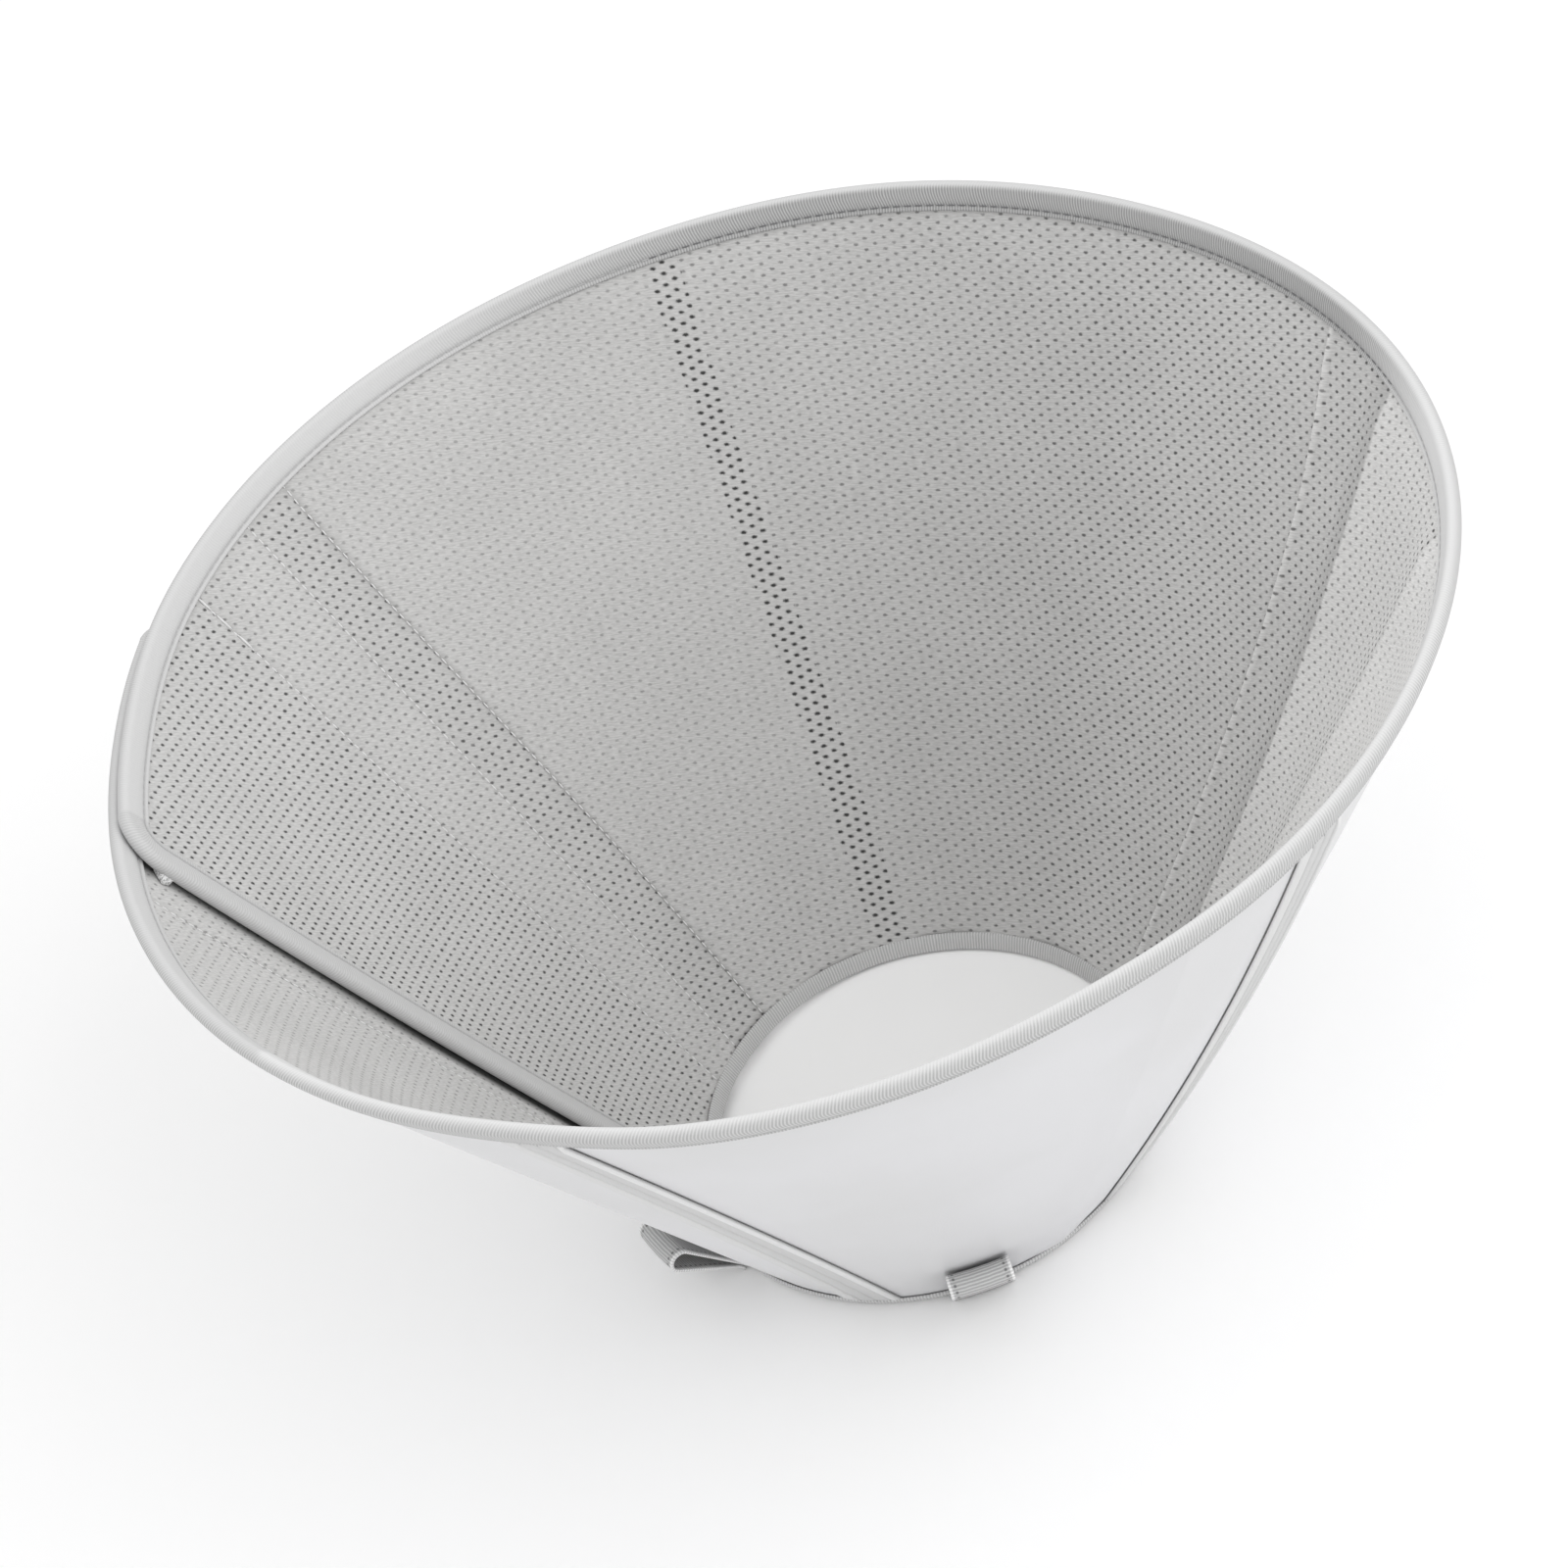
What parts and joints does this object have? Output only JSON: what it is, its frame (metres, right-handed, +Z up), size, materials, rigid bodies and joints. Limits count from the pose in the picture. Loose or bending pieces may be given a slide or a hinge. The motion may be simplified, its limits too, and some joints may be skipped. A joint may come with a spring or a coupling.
{
  "type": "soft recovery cone",
  "caption": "Soft cloth cone worn round a pet's neck, lapped over itself at the side, with a pored lining, bound edges and collar loops.",
  "frame": {"origin": "on the cone's axis, level with the lowest edge of the neck", "axes": "+Z up along the cone's axis, from the neck to the mouth; -Y towards the side seen in front in the picture; the lap is on the -X side"},
  "size_m": [0.4343, 0.4301, 0.2455],
  "materials": {
    "cover_cloth": "smooth coated cloth with a soft satin sheen",
    "lining_cloth": "matte knitted mesh with small pores",
    "binding_cloth": "fine-ribbed matte tape",
    "ribbon_cloth": "woven matte ribbon",
    "closure_cloth": "matte hook-and-loop tape"
  },
  "bodies": {
    "root": {"outer_cover": "cover_cloth", "mesh_lining": "lining_cloth", "edge_binding": "binding_cloth", "neck_binding": "binding_cloth", "closure_strip": "closure_cloth", "seam_tape_front": "binding_cloth", "seam_tape_side": "binding_cloth", "seam_tape_rear": "binding_cloth", "collar_loop_1": "ribbon_cloth", "collar_loop_2": "ribbon_cloth", "collar_loop_3": "ribbon_cloth", "collar_loop_4": "ribbon_cloth"}
  },
  "joints": []
}
